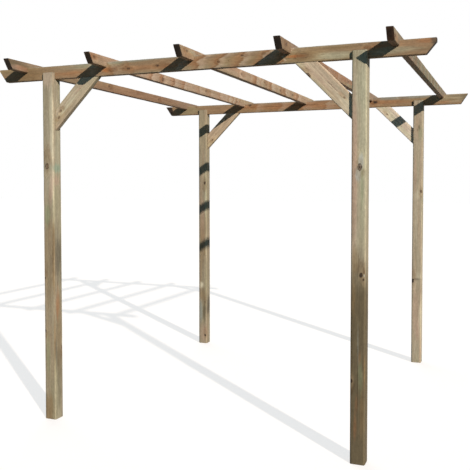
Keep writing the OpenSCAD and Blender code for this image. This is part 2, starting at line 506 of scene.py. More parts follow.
def hidden_knots(timber):
    """Seeded knots, in loose whorls, on the faces that carry no placed ones."""
    chance = random.Random(KNOT_SEED + timber.seed)
    found = []
    along = timber.start + chance.uniform(*FIRST_KNOT)
    while along < timber.stop - LAST_KNOT and len(found) < MOST_HIDDEN_KNOTS:
        face = chance.choice(HIDDEN_FACES[timber.kind])
        across = chance.uniform(-KNOT_ACROSS, KNOT_ACROSS) * timber.width(face)
        decay = chance.choice(KNOT_DECAY)
        found.append((along, face, across, chance.uniform(*KNOT_RADIUS), chance.uniform(*KNOT_LEAN), decay))
        along += chance.uniform(*NEXT_KNOT)
    return found


def knots_of(timber):
    """Placed and random knots of a timber, in its own axes."""
    for along, face, across, radius, lean, decay in KNOTS[timber.node] + hidden_knots(timber):
        direction = (timber.out(face) + Vector((lean, 0, 0))).normalized()
        yield Knot(timber.place(along, face, across), direction, radius, face, decay)


# Mesh of a timber

# Distances that count as none: in a plane cut, at a corner, and off a face at a check or a knot
CUT_SNAP = 1e-7
CORNER_SNAP = 1e-6
CHECK_SNAP = 1e-5
KNOT_SNAP = 1e-4
# Cosines over which a face looks in a direction, exactly or nearly
SAME_WAY = 0.999
NEAR_WAY = 0.99
# Steps round a long corner, angle over which an edge is a saw cut, and angle over which shading breaks
ARRIS_STEPS = 4
CUT_ANGLE = math.radians(40)
SHADE_ANGLE = math.radians(32)
# Drying checks: number, shares of the length and of a face's width, clearance of other lines,
# then how they taper, wander and wave, and the margin in finding their lines
CHECK_COUNT = {"post": 3, "beam": 2, "rafter": 2, "brace": 1}
CHECK_START = (0.08, 0.55)
CHECK_REACH = (0.12, 0.32)
CHECK_ACROSS = 0.16
CHECK_CLEAR = 0.007
CHECK_TAPER = 0.7
CHECK_WANDER = 0.0035
CHECK_WAVES = 3.0
CHECK_MARGIN = 1.01
# Raised knots: cuts across the faces of a patch, then, in radii, the patch, the top and foot of the
# collar and the hollow, and last the hollow's depth in rises
PATCH_CUTS = 2
PATCH_REACH = 1.9
COLLAR_TOP = 0.8
COLLAR_FOOT = 1.8
HOLLOW_REACH = 0.5
HOLLOW_DEPTH = 1.2
# Wear: reach in corner radii, even and bruised shares, then the bruises' power and cells per metre
WEAR_REACH = 1.3
EVEN_WEAR = 0.2
BRUISE_WEAR = 2.2
BRUISE_POWER = 1.5
BRUISE_ALONG = 11
BRUISE_ACROSS = 30


def edges_of(faces):
    """Edges of some faces, each once and in a steady order."""
    return list(dict.fromkeys(e for f in faces for e in f.edges))


def bisect(bm, point, normal, faces=None):
    """Cuts the mesh, or some of its faces, along a plane without taking anything away."""
    picked = bm.faces[:] if faces is None else faces
    verts = dict.fromkeys(v for f in picked for v in f.verts)
    bmesh.ops.bisect_plane(bm, geom=[*verts, *edges_of(picked), *picked], dist=CUT_SNAP, plane_co=point,
                           plane_no=normal)


def face_group(bm, out):
    """The flat faces that look in one direction."""
    return [f for f in bm.faces if f.normal.dot(out) > SAME_WAY]


def spread(low, high, pitch):
    """Evenly spaced values strictly between two ends."""
    count = max(1, round((high - low) / pitch))
    return [low + (high - low) * i / count for i in range(1, count)]


def bevel(bm, edges, width, steps):
    """Rounds some edges."""
    bmesh.ops.bevel(bm, geom=edges, offset=width, offset_type="OFFSET", affect="EDGES", segments=steps,
                    profile=0.5, material=-1, clamp_overlap=True)


def push(bm, face, travel):
    """Extrudes a face along a vector."""
    pushed = bmesh.ops.extrude_face_region(bm, geom=[face])["geom"]
    verts = [v for v in pushed if isinstance(v, bmesh.types.BMVert)]
    bmesh.ops.translate(bm, verts=verts, vec=travel)


def saw_blank(timber, shape):
    """Sawn timber with its long corners rounded and its cut edges eased."""
    bm = bmesh.new()
    side = bm.faces.new([bm.verts.new((x, -timber.thick / 2, z)) for x, z in timber.outline])
    push(bm, side, (0, timber.thick, 0))
    bmesh.ops.recalc_face_normals(bm, faces=bm.faces[:])
    long_edges = [e for e in bm.edges
                  if all(abs(abs(v.co.z) - timber.depth / 2) < CORNER_SNAP for v in e.verts)
                  and abs(e.verts[0].co.x - e.verts[1].co.x) > CORNER_SNAP]
    bevel(bm, long_edges, timber.arris, ARRIS_STEPS)
    cut_edges = [e for e in bm.edges if e.calc_face_angle(0) > CUT_ANGLE]
    bevel(bm, cut_edges, shape.saw_edge, 1)
    return bm


def drying_checks(timber):
    """Seeded cracks along the grain: face, distance across, start and stop."""
    chance = random.Random(CHECK_SEED + timber.seed)
    length = timber.stop - timber.start
    for face in chance.sample(sorted(timber.faces), CHECK_COUNT[timber.kind]):
        begin = timber.start + length * chance.uniform(*CHECK_START)
        reach = length * chance.uniform(*CHECK_REACH)
        across = timber.width(face) * chance.uniform(-CHECK_ACROSS, CHECK_ACROSS)
        yield face, across, begin, begin + reach


def open_check(bm, timber, shape, check):
    """Turns three lines along a face into a tapering V-shaped crack."""
    face, across, begin, end = check
    out = timber.out(face)
    side = timber.side(face)
    for v in bm.verts:
        t = (v.co.x - begin) / (end - begin)
        off = v.co.dot(side) - across
        on_face = abs(v.co.dot(out) - timber.half(face)) <= CHECK_SNAP
        if not 0 < t < 1 or not on_face or abs(off) > shape.check_width * CHECK_MARGIN:
            continue
        gape = math.sin(math.pi * t) ** CHECK_TAPER
        wave = noise.noise((v.co.x * CHECK_WAVES / (end - begin), timber.seed, 0.0))
        centre = abs(off) < shape.check_width / 2
        v.co += side * (CHECK_WANDER * wave * gape + (0.0 if centre else off * (gape - 1)))
        if centre:
            v.co -= out * shape.check_depth * gape


def raise_knot(bm, timber, shape, knot):
    """Refines the mesh round a knot, lifts its collar and hollows its middle."""
    out = timber.out(knot.face)
    near = [f for f in bm.faces if f.normal.dot(out) > NEAR_WAY
            and (f.calc_center_median() - knot.place).length < PATCH_REACH * knot.radius]
    bmesh.ops.subdivide_edges(bm, edges=edges_of(near), cuts=PATCH_CUTS, use_grid_fill=True)
    for v in bm.verts:
        gap = v.co - knot.place
        if abs(gap.dot(out)) > KNOT_SNAP:
            continue
        away = (gap - knot.direction * gap.dot(knot.direction)).length / knot.radius
        if away < COLLAR_FOOT:
            collar = 1 - max(0.0, (away - COLLAR_TOP) / (COLLAR_FOOT - COLLAR_TOP))
            hollow = max(0.0, 1 - away / HOLLOW_REACH)
            v.co += out * shape.knot_rise * (collar - HOLLOW_DEPTH * hollow)


def season(bm, timber, shape):
    """Bows the timber a little and wears its long corners."""
    bm.normal_update()
    for v in bm.verts:
        x, y, z = v.co
        corner = max(timber.thick / 2 - abs(y), timber.depth / 2 - abs(z))
        edge = max(0.0, 1 - corner / (WEAR_REACH * timber.arris))
        rough = noise.noise((x * BRUISE_ALONG, y * BRUISE_ACROSS + timber.seed, z * BRUISE_ACROSS))
        bruise = max(0.0, rough) ** BRUISE_POWER
        v.co -= v.normal * shape.wear * edge * (EVEN_WEAR + BRUISE_WEAR * bruise)
        v.co += timber.bow(x, shape)


def close_up(bm):
    """Splits faces with many corners, clears faces without area, and turns the whole skin outwards."""
    wide = [f for f in bm.faces if len(f.verts) > 4]
    bmesh.ops.triangulate(bm, faces=wide, quad_method="BEAUTY", ngon_method="BEAUTY")
    bmesh.ops.dissolve_degenerate(bm, edges=bm.edges[:], dist=CORNER_SNAP)
    if bm.calc_volume(signed=True) < 0:
        bmesh.ops.reverse_faces(bm, faces=bm.faces[:])


def model_timber(timber, shape):
    """Whole mesh of a timber in place: sawn, cut into a fine grid, knotted, checked and worn."""
    bm = saw_blank(timber, shape)
    checks = list(drying_checks(timber))
    for face, across, begin, end in checks:
        side = timber.side(face)
        for step in (-1, 0, 1):
            bisect(bm, side * (across + step * shape.check_width), side, face_group(bm, timber.out(face)))
    for x in spread(timber.start, timber.stop, shape.cut_pitch):
        bisect(bm, (x, 0, 0), (1, 0, 0))
    for face in timber.faces:
        side = timber.side(face)
        edge = timber.width(face) / 2 - timber.arris
        taken = [check[1] for check in checks if check[0] == face]
        for line in spread(-edge, edge, shape.line_pitch):
            if all(abs(line - across) > CHECK_CLEAR for across in taken):
                bisect(bm, side * line, side, face_group(bm, timber.out(face)))
    for knot in knots_of(timber):
        raise_knot(bm, timber, shape, knot)
    for check in checks:
        open_check(bm, timber, shape, check)
    season(bm, timber, shape)
    close_up(bm)
    bm.transform(timber.matrix)
    mesh = bpy.data.meshes.new(timber.node + "_timber")
    bm.to_mesh(mesh)
    bm.free()
    mesh.polygons.foreach_set("use_smooth", [True] * len(mesh.polygons))
    mesh.set_sharp_from_angle(angle=SHADE_ANGLE)
    return mesh


# Node helpers

# Noises: cells per metre along and across the grain, octaves, roughness
NOISES = {
    "sway": (1.1, 1.0, 1.0, 0.50),
    "ripple": (4.0, 70.0, 2.0, 0.50),
    "ragged": (90.0, 140.0, 2.0, 0.50),
    "bark": (55.0, 55.0, 1.0, 0.50),
    "bend": (5.0, 26.0, 1.0, 0.50),
    "fray": (9.0, 170.0, 2.0, 0.50),
    "seep": (5.0, 75.0, 3.0, 0.60),
    "scuff": (9.0, 45.0, 3.0, 0.60),
    "Broad": (1.6, 30.0, 3.0, 0.55),
    "Streak": (6.0, 130.0, 2.0, 0.60),
    "Hair": (26.0, 800.0, 1.0, 0.50),
    "Tint": (1.1, 16.0, 2.0, 0.50),
    "Mottle": (16.0, 60.0, 3.0, 0.65),
    "Fleck": (28.0, 170.0, 2.0, 0.60),
    "Speck": (55.0, 120.0, 2.0, 0.60),
    "cloud": (420.0, 420.0, 3.0, 0.60),
    "spots": (260.0, 260.0, 2.0, 0.50),
}
# Mean of every noise
NOISE_MEAN = 0.5


class Graph:
    """Adds nodes to one tree and wires them, so that a finish reads from top to bottom."""

    def __init__(self, tree):
        self.tree = tree

    def put(self, value, socket):
        """Links a socket to another one, or sets its value."""
        if isinstance(value, bpy.types.NodeSocket):
            self.tree.links.new(value, socket)
        elif socket.type == "RGBA" and len(value) == 3:
            socket.default_value = (*value, 1.0)
        else:
            socket.default_value = value

    def node(self, kind, inputs=None, **settings):
        """Adds a node with its settings and inputs."""
        made = self.tree.nodes.new(kind)
        for key, value in settings.items():
            setattr(made, key, value)
        for key, value in (inputs or {}).items():
            self.put(value, made.inputs[key])
        return made

    def use(self, group, inputs):
        """Places a node group and returns its outputs."""
        return self.node("ShaderNodeGroup", inputs, node_tree=group).outputs

    def math(self, operation, *values):
        """Calculation on numbers."""
        return self.node("ShaderNodeMath", dict(enumerate(values)), operation=operation).outputs[0]

    def vector(self, operation, *values):
        """Calculation on vectors."""
        made = self.node("ShaderNodeVectorMath", dict(enumerate(values)), operation=operation)
        return made.outputs["Value" if operation in ("DOT_PRODUCT", "LENGTH") else "Vector"]

    def stretch(self, vector, scale):
        """Vector times one factor for each axis."""
        return self.vector("MULTIPLY", vector, scale)

    def ramp(self, value, low, high, to_low=0.0, to_high=1.0):
        """Smooth step from one value to another over a range."""
        made = self.node("ShaderNodeMapRange", {0: value, 1: low, 2: high, 3: to_low, 4: to_high},
                         interpolation_type="SMOOTHSTEP")
        return made.outputs[0]

    def fall(self, value, low, high):
        """Smooth step down from 1 to 0 over a range."""
        return self.ramp(value, low, high, 1.0, 0.0)

    def hump(self, value, rise, fall):
        """Smooth rise to 1 over one range and fall to 0 over another."""
        return self.math("MULTIPLY", self.ramp(value, *rise), self.fall(value, *fall))

    def noise(self, name, vector, output="Fac"):
        """One of the named noises."""
        along, across, octaves, rough = NOISES[name]
        cells = self.stretch(vector, (along, across, across))
        made = self.node("ShaderNodeTexNoise", {"Vector": cells, "Scale": 1.0, "Detail": octaves,
                                                "Roughness": rough})
        return made.outputs[output]

    def shake(self, value, rough, width):
        """Value moved by a noise, over a width."""
        return self.math("MULTIPLY_ADD", self.math("SUBTRACT", rough, NOISE_MEAN), width, value)

    def mix(self, factor, first, second, blend="MIX"):
        """Mixes two colours. The factor is held between 0 and 1."""
        made = self.node("ShaderNodeMix", {0: factor, 6: first, 7: second}, data_type="RGBA",
                         blend_type=blend)
        return made.outputs[2]


SOCKETS = {"vector": "NodeSocketVector", "value": "NodeSocketFloat", "colour": "NodeSocketColor"}


def node_group(name, inputs, outputs, build):
    """Makes a shader node group once: build gets its graph and inputs and returns its outputs."""
    group = bpy.data.node_groups.get(name)
    if group:
        return group
    group = bpy.data.node_groups.new(name, "ShaderNodeTree")
    for label, kind in inputs.items():
        group.interface.new_socket(label, in_out="INPUT", socket_type=SOCKETS[kind])
    for label, kind in outputs.items():
        group.interface.new_socket(label, in_out="OUTPUT", socket_type=SOCKETS[kind])
    graph = Graph(group)
    entry = graph.node("NodeGroupInput")
    leave = graph.node("NodeGroupOutput")
    given = {label: entry.outputs[label] for label in inputs}
    for label, socket in build(graph, given).items():
        graph.put(socket, leave.inputs[label])
    return group


# Shared effects of the wood

# A mask rises or falls over a range, between 0 and 1 unless the range ends with two other values

# Growth rings: how far the pith wanders and the rings waver, and the late wood in a year
PITH_SWAY = (0.0, 0.035, 0.035)
RING_WAVER = 0.0030
LATE_RISE = (0.35, 0.85)
LATE_FALL = (0.90, 1.00)
# Knots: depth of the root, least and most width in radii, raggedness, ovals of heart and flow, rings
# in the heart, reach of the rot, ranges in radii, and the masks passed on from knot to knot
KNOT_ROOT = 0.055
KNOT_LEAST = 0.02
KNOT_MOST = 1.25
KNOT_RAG = 0.9
HEART_OVAL = (0.65, 1.0, 1.0)
FLOW_OVAL = (0.28, 1.0, 1.0)
HEART_RINGS = 4.0
ROT_REACH = 1.1
HEART_EDGE = (0.80, 1.00)
HEART_YEAR = (0.20, 0.90, 0.65, 1.00)
BARK_RISE = (0.60, 0.80)
BARK_FALL = (1.00, 1.15)
BARK_PATCH = (0.42, 0.56, 0.00, 0.90)
ROT_EDGE = (-0.35, -0.05)
HALO_FALL = (0.70, 2.20)
BULGE_FALL = (0.50, 3.60)
SWIRL_RISE = (0.90, 1.80)
SWIRL_FALL = (2.00, 3.40)
SWIRL_TURN = (-3.00, 3.00, -1.00, 1.00)
KNOT_MASKS = ("Heart", "Rim", "Halo", "Shift", "Swirl")
# Bands: how far they bend and fray, and their pale, brown and dark parts
BAND_BEND = 0.110
BAND_FRAY = 0.050
PALE_RISE = (0.00, 0.10)
PALE_FALL = (0.10, 0.55)
BROWN_RISE = (0.50, 0.95)
BROWN_FALL = (0.00, 0.05)
LINE_RISE = (0.82, 0.99)
# Fibre: the noises that it gives, a shift that keeps the tint apart from the rest, and the flecks
FIBRES = ("Broad", "Streak", "Hair", "Tint", "Mottle", "Fleck", "Speck")
TINT_SHIFT = (3.7, 1.3, 2.1)
FLECK_RISE = (0.60, 0.72)
# Scuffed parts of a worn corner, which also break up its painted highlight
SCUFF_RISE = (0.35, 0.65, 0.25, 1.00)


def growth_rings():
    """Latewood bands round a wandering pith."""
    def build(g, given):
        sway = g.vector("SUBTRACT", g.noise("sway", given["Vector"], "Color"), (NOISE_MEAN,) * 3)
        centred = g.vector("SUBTRACT", given["Vector"], given["Pith"])
        centred = g.vector("ADD", centred, g.stretch(sway, PITH_SWAY))
        radius = g.vector("LENGTH", g.stretch(centred, (0.0, 1.0, 1.0)))
        radius = g.shake(radius, g.noise("ripple", given["Vector"]), RING_WAVER)
        ring = g.math("DIVIDE", g.math("ADD", radius, given["Shift"]), given["Gap"])
        year = g.math("FLOOR", ring)
        late = g.hump(g.math("SUBTRACT", ring, year), LATE_RISE, LATE_FALL)
        tone = g.node("ShaderNodeTexWhiteNoise", {"W": year}, noise_dimensions="1D").outputs["Value"]
        return {"Latewood": late, "Tone": tone}
    own = {"Vector": "vector", "Pith": "vector", "Gap": "value", "Shift": "value"}
    return node_group("Growth rings", own, {"Latewood": "value", "Tone": "value"}, build)


def knot_effect():
    """One knot, a cone widening outwards from its root, and the grain that flows round it."""
    def build(g, given):
        gap = g.vector("SUBTRACT", given["Vector"], given["Place"])
        along = g.vector("DOT_PRODUCT", gap, given["Direction"])
        axial = g.node("ShaderNodeVectorMath", {0: given["Direction"], "Scale": along}, operation="SCALE")
        off = g.vector("SUBTRACT", gap, axial.outputs["Vector"])
        grow = g.math("MAXIMUM", g.math("MULTIPLY_ADD", along, 1 / KNOT_ROOT, 1.0), KNOT_LEAST)
        wide = g.math("MULTIPLY", given["Radius"], g.math("MINIMUM", grow, KNOT_MOST))
        ragged = g.noise("ragged", given["Vector"])

        core = g.math("DIVIDE", g.vector("LENGTH", g.stretch(off, HEART_OVAL)), wide)
        core = g.shake(core, ragged, KNOT_RAG)
        years = g.math("FRACT", g.math("MULTIPLY", core, HEART_RINGS))
        heart = g.math("MULTIPLY", g.fall(core, *HEART_EDGE), g.ramp(years, *HEART_YEAR))
        bark = g.ramp(g.noise("bark", given["Vector"]), *BARK_PATCH)
        ring = g.math("MULTIPLY", g.hump(core, BARK_RISE, BARK_FALL), bark)
        hole = g.fall(g.math("MULTIPLY_ADD", given["Decay"], -ROT_REACH, core), *ROT_EDGE)
        rim = g.math("MAXIMUM", ring, hole)

        flow = g.math("DIVIDE", g.vector("LENGTH", g.stretch(off, FLOW_OVAL)), wide)
        flow = g.shake(flow, ragged, KNOT_RAG)
        halo = g.fall(flow, *HALO_FALL)
        bulge = g.math("MULTIPLY", g.fall(flow, *BULGE_FALL), given["Radius"])
        ahead = g.math("DIVIDE", g.node("ShaderNodeSeparateXYZ", {0: gap}).outputs["X"], wide)
        lens = g.hump(flow, SWIRL_RISE, SWIRL_FALL)
        turned = g.math("MULTIPLY", g.ramp(ahead, *SWIRL_TURN), given["Flow"])
        swirl = g.math("MULTIPLY", lens, turned)

        return {"Heart": g.math("MAXIMUM", g.math("MULTIPLY", heart, given["Darkness"]), given["Heart"]),
                "Rim": g.math("MAXIMUM", g.math("MULTIPLY", rim, given["Darkness"]), given["Rim"]),
                "Halo": g.math("MAXIMUM", halo, given["Halo"]),
                "Shift": g.math("ADD", bulge, given["Shift"]),
                "Swirl": g.math("ADD", swirl, given["Swirl"])}
    masks = dict.fromkeys(KNOT_MASKS, "value")
    own = {"Vector": "vector", "Place": "vector", "Direction": "vector", "Radius": "value",
           "Darkness": "value", "Decay": "value", "Flow": "value"}
    return node_group("Knot", {**own, **masks}, masks, build)


def band_effect():
    """Curly bands across the grain: each starts pale at a wavy line and darkens to the next."""
    def build(g, given):
        part = g.node("ShaderNodeSeparateXYZ", {0: given["Vector"]}).outputs
        lean = g.math("MULTIPLY", given["Lean"], -1.0)
        place = g.math("MULTIPLY_ADD", part["Z"], lean, part["X"])
        place = g.shake(place, g.noise("bend", given["Vector"]), BAND_BEND)
        place = g.shake(place, g.noise("fray", given["Vector"]), BAND_FRAY)
        turn = g.math("FRACT", g.math("DIVIDE", g.math("SUBTRACT", place, given["Start"]), given["Length"]))
        inside = g.math("MULTIPLY", g.math("GREATER_THAN", place, given["Start"]),
                        g.math("LESS_THAN", place, given["Stop"]))
        amount = g.math("MULTIPLY", inside, given["Strength"])
        masks = {"Pale": g.hump(turn, PALE_RISE, PALE_FALL),
                 "Brown": g.math("MAXIMUM", g.ramp(turn, *BROWN_RISE), g.fall(turn, *BROWN_FALL)),
                 "Line": g.ramp(turn, *LINE_RISE)}
        return {label: g.math("MULTIPLY", mask, amount) for label, mask in masks.items()}
    own = {"Vector": "vector", "Start": "value", "Stop": "value", "Length": "value", "Lean": "value",
           "Strength": "value"}
    return node_group("Bands", own, dict.fromkeys(("Pale", "Brown", "Line"), "value"), build)


def stain_effect():
    """A stain with fibrous edges, laid over a colour."""
    def build(g, given):
        gap = g.vector("DIVIDE", g.vector("SUBTRACT", given["Vector"], given["Place"]), given["Spread"])
        reach = g.shake(g.vector("LENGTH", gap), g.noise("seep", given["Vector"]), given["Fray"])
        mask = g.math("MULTIPLY", g.fall(reach, given["Core"], 1.0), given["Strength"])
        return {"Colour": g.mix(mask, given["Colour"], given["Tint"])}
    own = {"Vector": "vector", "Colour": "colour", "Place": "vector", "Spread": "vector", "Tint": "colour",
           "Strength": "value", "Core": "value", "Fray": "value"}
    return node_group("Stain", own, {"Colour": "colour"}, build)


def fibre_effect():
    """Streaks, hairs and flecks along the grain, at several scales."""
    def build(g, given):
        moved = g.vector("ADD", given["Vector"], TINT_SHIFT)
        made = {label: g.noise(label, moved if label == "Tint" else given["Vector"]) for label in FIBRES}
        made["Fleck"] = g.ramp(made["Fleck"], *FLECK_RISE)
        return made
    return node_group("Fibre", {"Vector": "vector"}, dict.fromkeys(FIBRES, "value"), build)


def arris_effect():
    """Mask of the long corners of a section, worn and given a painted highlight."""
    def build(g, given):
        inside = g.vector("SUBTRACT", given["Half"], g.vector("ABSOLUTE", given["Vector"]))
        part = g.node("ShaderNodeSeparateXYZ", {0: inside}).outputs
        corner = g.math("MAXIMUM", part["Y"], part["Z"])
        edge = g.fall(corner, 0.0, given["Reach"])
        scuff = g.ramp(g.noise("scuff", given["Vector"]), *SCUFF_RISE)
        return {"Edge": g.math("MULTIPLY", edge, scuff)}
    own = {"Vector": "vector", "Half": "vector", "Reach": "value"}
    return node_group("Worn arris", own, {"Edge": "value"}, build)


# Finish of a timber

# Factors on a timber's own colour
EARLYWOOD = (1.06, 1.06, 1.06)
LATEWOOD = (0.74, 0.66, 0.58)
GREENISH = (0.92, 1.00, 0.86)
PINKISH = (1.10, 0.92, 0.86)
KNOT_HALO = (0.82, 0.68, 0.54)
# Factors on the colour that is there already
SWIRL_DARK = (0.70, 0.56, 0.46)
SWIRL_PALE = (1.28, 1.25, 1.20)
# Factor for the paler long corners: part wear, part painted highlight
WORN_EDGE_HIGHLIGHT = (1.35, 1.32, 1.25)
# Drift of the tint to green and pink, and how far a face that silvers looks up
GREEN_DRIFT = (0.50, 0.66)
PINK_DRIFT = (0.34, 0.48)
SKY_FACING = (0.35, 0.90)
# Shares at which the effects are laid on
LATEWOOD_SHARE = 0.42
DRIFT_SHARE = 0.55
BAND_SHARES = {"Pale": 0.60, "Brown": 0.60, "Line": 0.55}
SWIRL_DARK_SHARE = 0.55
SWIRL_PALE_SHARE = 0.50
KNOT_SHARES = {"Halo": 0.50, "Heart": 0.90, "Rim": 0.95}
EDGE_SHARE = 0.45
# Depth of the shading by the fibre, by the years and by the flecks
FIBRE_DEPTHS = {"Broad": 0.44, "Streak": 0.42, "Mottle": 0.55, "Hair": 0.26, "Speck": 0.55}
YEAR_DEPTH = 0.14
FLECK_DEPTH = 0.22
FLECK_LEVEL = 1.02
# Random draws: shift of the grain, pith in a post or beside a board, ring gap, darkness of a knot
GRAIN_SHIFT = (40, 4, 4)
POST_PITH = 0.012
BOARD_PITH = (0.03, 0.06)
BOARD_PITH_RISE = 0.03
GAP_SPREAD = (0.85, 1.25)
KNOT_DARKNESS = (0.7, 0.9)
ROT_DARKNESS = 0.1
# A knot that leans this far along the grain is cut lengthways, and pale
SPIKE_LEAN = 0.7
SPIKE_DARKNESS = 0.3
# Fray of a stain's edge: without a core, what a full core takes off, half length beyond which it lessens
STAIN_FRAY = 1.5
CORE_FIRM = 1.2
LONG_STAIN = 0.35
# Silver on upward faces: its level, and what the streaks add
SILVER_LEVEL = 0.25
SILVER_STREAK = 0.70
# Reach of the worn edges and their painted highlight, in corner radii
EDGE_REACH = 1.6
# Half length beyond the end of any timber
BEYOND = 9.0
# Sawn ends: factor on their colour in early wood, factor and share of late wood, mottle and middle,
# then the ranges of the mottle, of the middle and of how squarely a face is cut across the grain
END_EARLY = 1.2
END_LATE = (0.60, 0.50)
END_MOTTLE = (0.45, 0.70)
END_MIDDLE = (0.35, 0.75)
MOTTLE_RISE = (0.42, 0.62)
MIDDLE_FALL = (0.35, 0.95)
END_FACING = (0.45, 0.62)
# Roughness, what the streaks add to it and the knots take off, then specular level and relief
ROUGH_LEVEL = 0.68
ROUGH_STREAK = 0.22
KNOT_POLISH = 0.12
GLOSS = 0.22
RELIEF = 0.8
LATEWOOD_HEIGHT = 0.45
HAIR_HEIGHT = 0.5
STREAK_HEIGHT = 0.5


def scaled(tint, *factors):
    """A colour times one factor, or one for each channel."""
    factors = factors * 3 if len(factors) == 1 else factors
    return tuple(min(1.0, c * f) for c, f in zip(tint, factors))


def new_material(name):
    """A material, its graph and its shader."""
    material = bpy.data.materials.new(name)
    material.use_nodes = True
    return material, Graph(material.node_tree), material.node_tree.nodes["Principled BSDF"]


class TimberFinish:
    """Procedural wood for one timber, in the timber's own axes. Each step changes the tint so far."""

    def __init__(self, timber, wood):
        self.timber = timber
        self.wood = wood
        self.base = scaled(getattr(wood, timber.kind), *TONES[timber.node])
        self.tint = self.base
        self.material, self.g, self.shader = new_material(timber.node + "_wood")
        chance = random.Random(WOOD_SEED + timber.seed)
        place = self.g.node("ShaderNodeTexCoord").outputs["Object"]
        axes = {"Vector": place, "Location": timber.origin, "Rotation": timber.turn}
        self.local = self.g.node("ShaderNodeMapping", axes, vector_type="TEXTURE").outputs["Vector"]
        self.normal = self.g.node("ShaderNodeNewGeometry").outputs["Normal"]
        shifted = self.g.vector("ADD", self.local, tuple(chance.uniform(0, most) for most in GRAIN_SHIFT))
        self.fibre = self.g.use(fibre_effect(), {"Vector": shifted})
        self.knots = self.knot_masks(chance)
        self.rings = self.ring_masks(chance)

    def knot_masks(self, chance):
        """Masks of all knots together, each chained to the one before."""
        masks = dict.fromkeys(KNOT_MASKS, 0.0)
        for knot in knots_of(self.timber):
            spike = abs(knot.direction.x) > SPIKE_LEAN
            dark = SPIKE_DARKNESS if spike else chance.uniform(*KNOT_DARKNESS) + ROT_DARKNESS * knot.decay
            own = {"Vector": self.local, "Place": knot.place, "Direction": knot.direction, "Darkness": dark,
                   "Radius": knot.radius, "Decay": knot.decay, "Flow": chance.choice((-1.0, 1.0))}
            made = self.g.use(knot_effect(), {**own, **masks})
            masks = {label: made[label] for label in KNOT_MASKS}
        return masks

    def ring_masks(self, chance):
        """Growth rings round a pith that lies inside a post, or beside a board."""
        pith = (0.0, chance.uniform(-POST_PITH, POST_PITH), chance.uniform(-POST_PITH, POST_PITH))
        if self.timber.kind != "post":
            pith = (0.0, chance.choice((-1, 1)) * chance.uniform(*BOARD_PITH),
                    chance.uniform(-BOARD_PITH_RISE, BOARD_PITH_RISE))
        gap = self.wood.ring_gap * chance.uniform(*GAP_SPREAD)
        return self.g.use(growth_rings(), {"Vector": self.local, "Pith": pith, "Gap": gap,
                                           "Shift": self.knots["Shift"]})

    def lay(self, mask, share, tint, blend="MIX"):
        """Lays a colour over the tint through a share of a mask."""
        self.tint = self.g.mix(self.g.math("MULTIPLY", mask, share), self.tint, tint, blend)

    def lay_grain(self):
        """Early and late wood, drifting to greenish and pinkish along the grain."""
        drift = self.fibre["Tint"]
        self.tint = scaled(self.base, *EARLYWOOD)
        self.lay(self.rings["Latewood"], LATEWOOD_SHARE, scaled(self.base, *LATEWOOD))
        self.lay(self.g.ramp(drift, *GREEN_DRIFT), DRIFT_SHARE, scaled(self.base, *GREENISH))
        self.lay(self.g.fall(drift, *PINK_DRIFT), DRIFT_SHARE, scaled(self.base, *PINKISH))

    def lay_stains(self):
        """Placed stains, each over the ones before."""
        for along, face, across, half_length, half_width, name, strong, core in STAINS[self.timber.node]:
            fray = (STAIN_FRAY - CORE_FIRM * core) * min(1.0, LONG_STAIN / half_length)
            stain = {"Vector": self.local, "Place": self.timber.place(along, face, across),
                     "Spread": (half_length, half_width, half_width), "Core": core, "Fray": fray,
                     "Colour": self.tint, "Tint": tuple(getattr(self.wood, name)), "Strength": strong}
            self.tint = self.g.use(stain_effect(), stain)["Colour"]

    def lay_bands(self):
        """Placed bands across the grain."""
        tints = {"Pale": self.wood.rose, "Brown": self.wood.red, "Line": self.wood.knot}
        for start, stop, length, lean, strong in BANDS.get(self.timber.node, ()):
            made = self.g.use(band_effect(), {"Vector": self.local, "Start": start, "Stop": stop,
                                              "Length": length, "Lean": lean, "Strength": strong})
            for label, share in BAND_SHARES.items():
                self.lay(made[label], share, tuple(tints[label]))

    def lay_shade(self):
        """Swirls beside the knots, then light and dark by the fibre and the years."""
        g = self.g
        self.lay(self.knots["Swirl"], SWIRL_DARK_SHARE, SWIRL_DARK, "MULTIPLY")
        self.lay(self.knots["Swirl"], -SWIRL_PALE_SHARE, SWIRL_PALE, "MULTIPLY")
        shade = g.math("MULTIPLY_ADD", self.fibre["Fleck"], -FLECK_DEPTH, FLECK_LEVEL)
        depths = [(self.fibre[label], depth) for label, depth in FIBRE_DEPTHS.items()]
        for mask, depth in [*depths, (self.rings["Tone"], YEAR_DEPTH)]:
            shade = g.math("MULTIPLY", shade, g.math("MULTIPLY_ADD", mask, depth, 1.0 - depth / 2))
        grey = g.node("ShaderNodeCombineColor", dict.fromkeys(range(3), shade)).outputs[0]
        self.tint = g.mix(1.0, self.tint, grey, "MULTIPLY")

    def lay_knots(self):
        """Halo, heart and bark ring of the knots."""
        tints = {"Halo": scaled(self.base, *KNOT_HALO), "Heart": self.wood.knot, "Rim": self.wood.rim}
        for label, share in KNOT_SHARES.items():
            self.lay(self.knots[label], share, tuple(tints[label]))

    def lay_weather(self):
        """Silver on what faces the sky, and paler corners: part wear, part painted highlight."""
        g = self.g
        up = g.ramp(g.vector("DOT_PRODUCT", self.normal, (0.0, 0.0, 1.0)), *SKY_FACING)
        silver = g.math("MULTIPLY_ADD", self.fibre["Streak"], SILVER_STREAK, SILVER_LEVEL)
        self.lay(up, silver, tuple(self.wood.grey))
        half = (BEYOND, self.timber.thick / 2, self.timber.depth / 2)
        reach = self.timber.arris * EDGE_REACH
        worn = g.use(arris_effect(), {"Vector": self.local, "Half": half, "Reach": reach})
        self.lay(worn["Edge"], EDGE_SHARE, WORN_EDGE_HIGHLIGHT, "MULTIPLY")

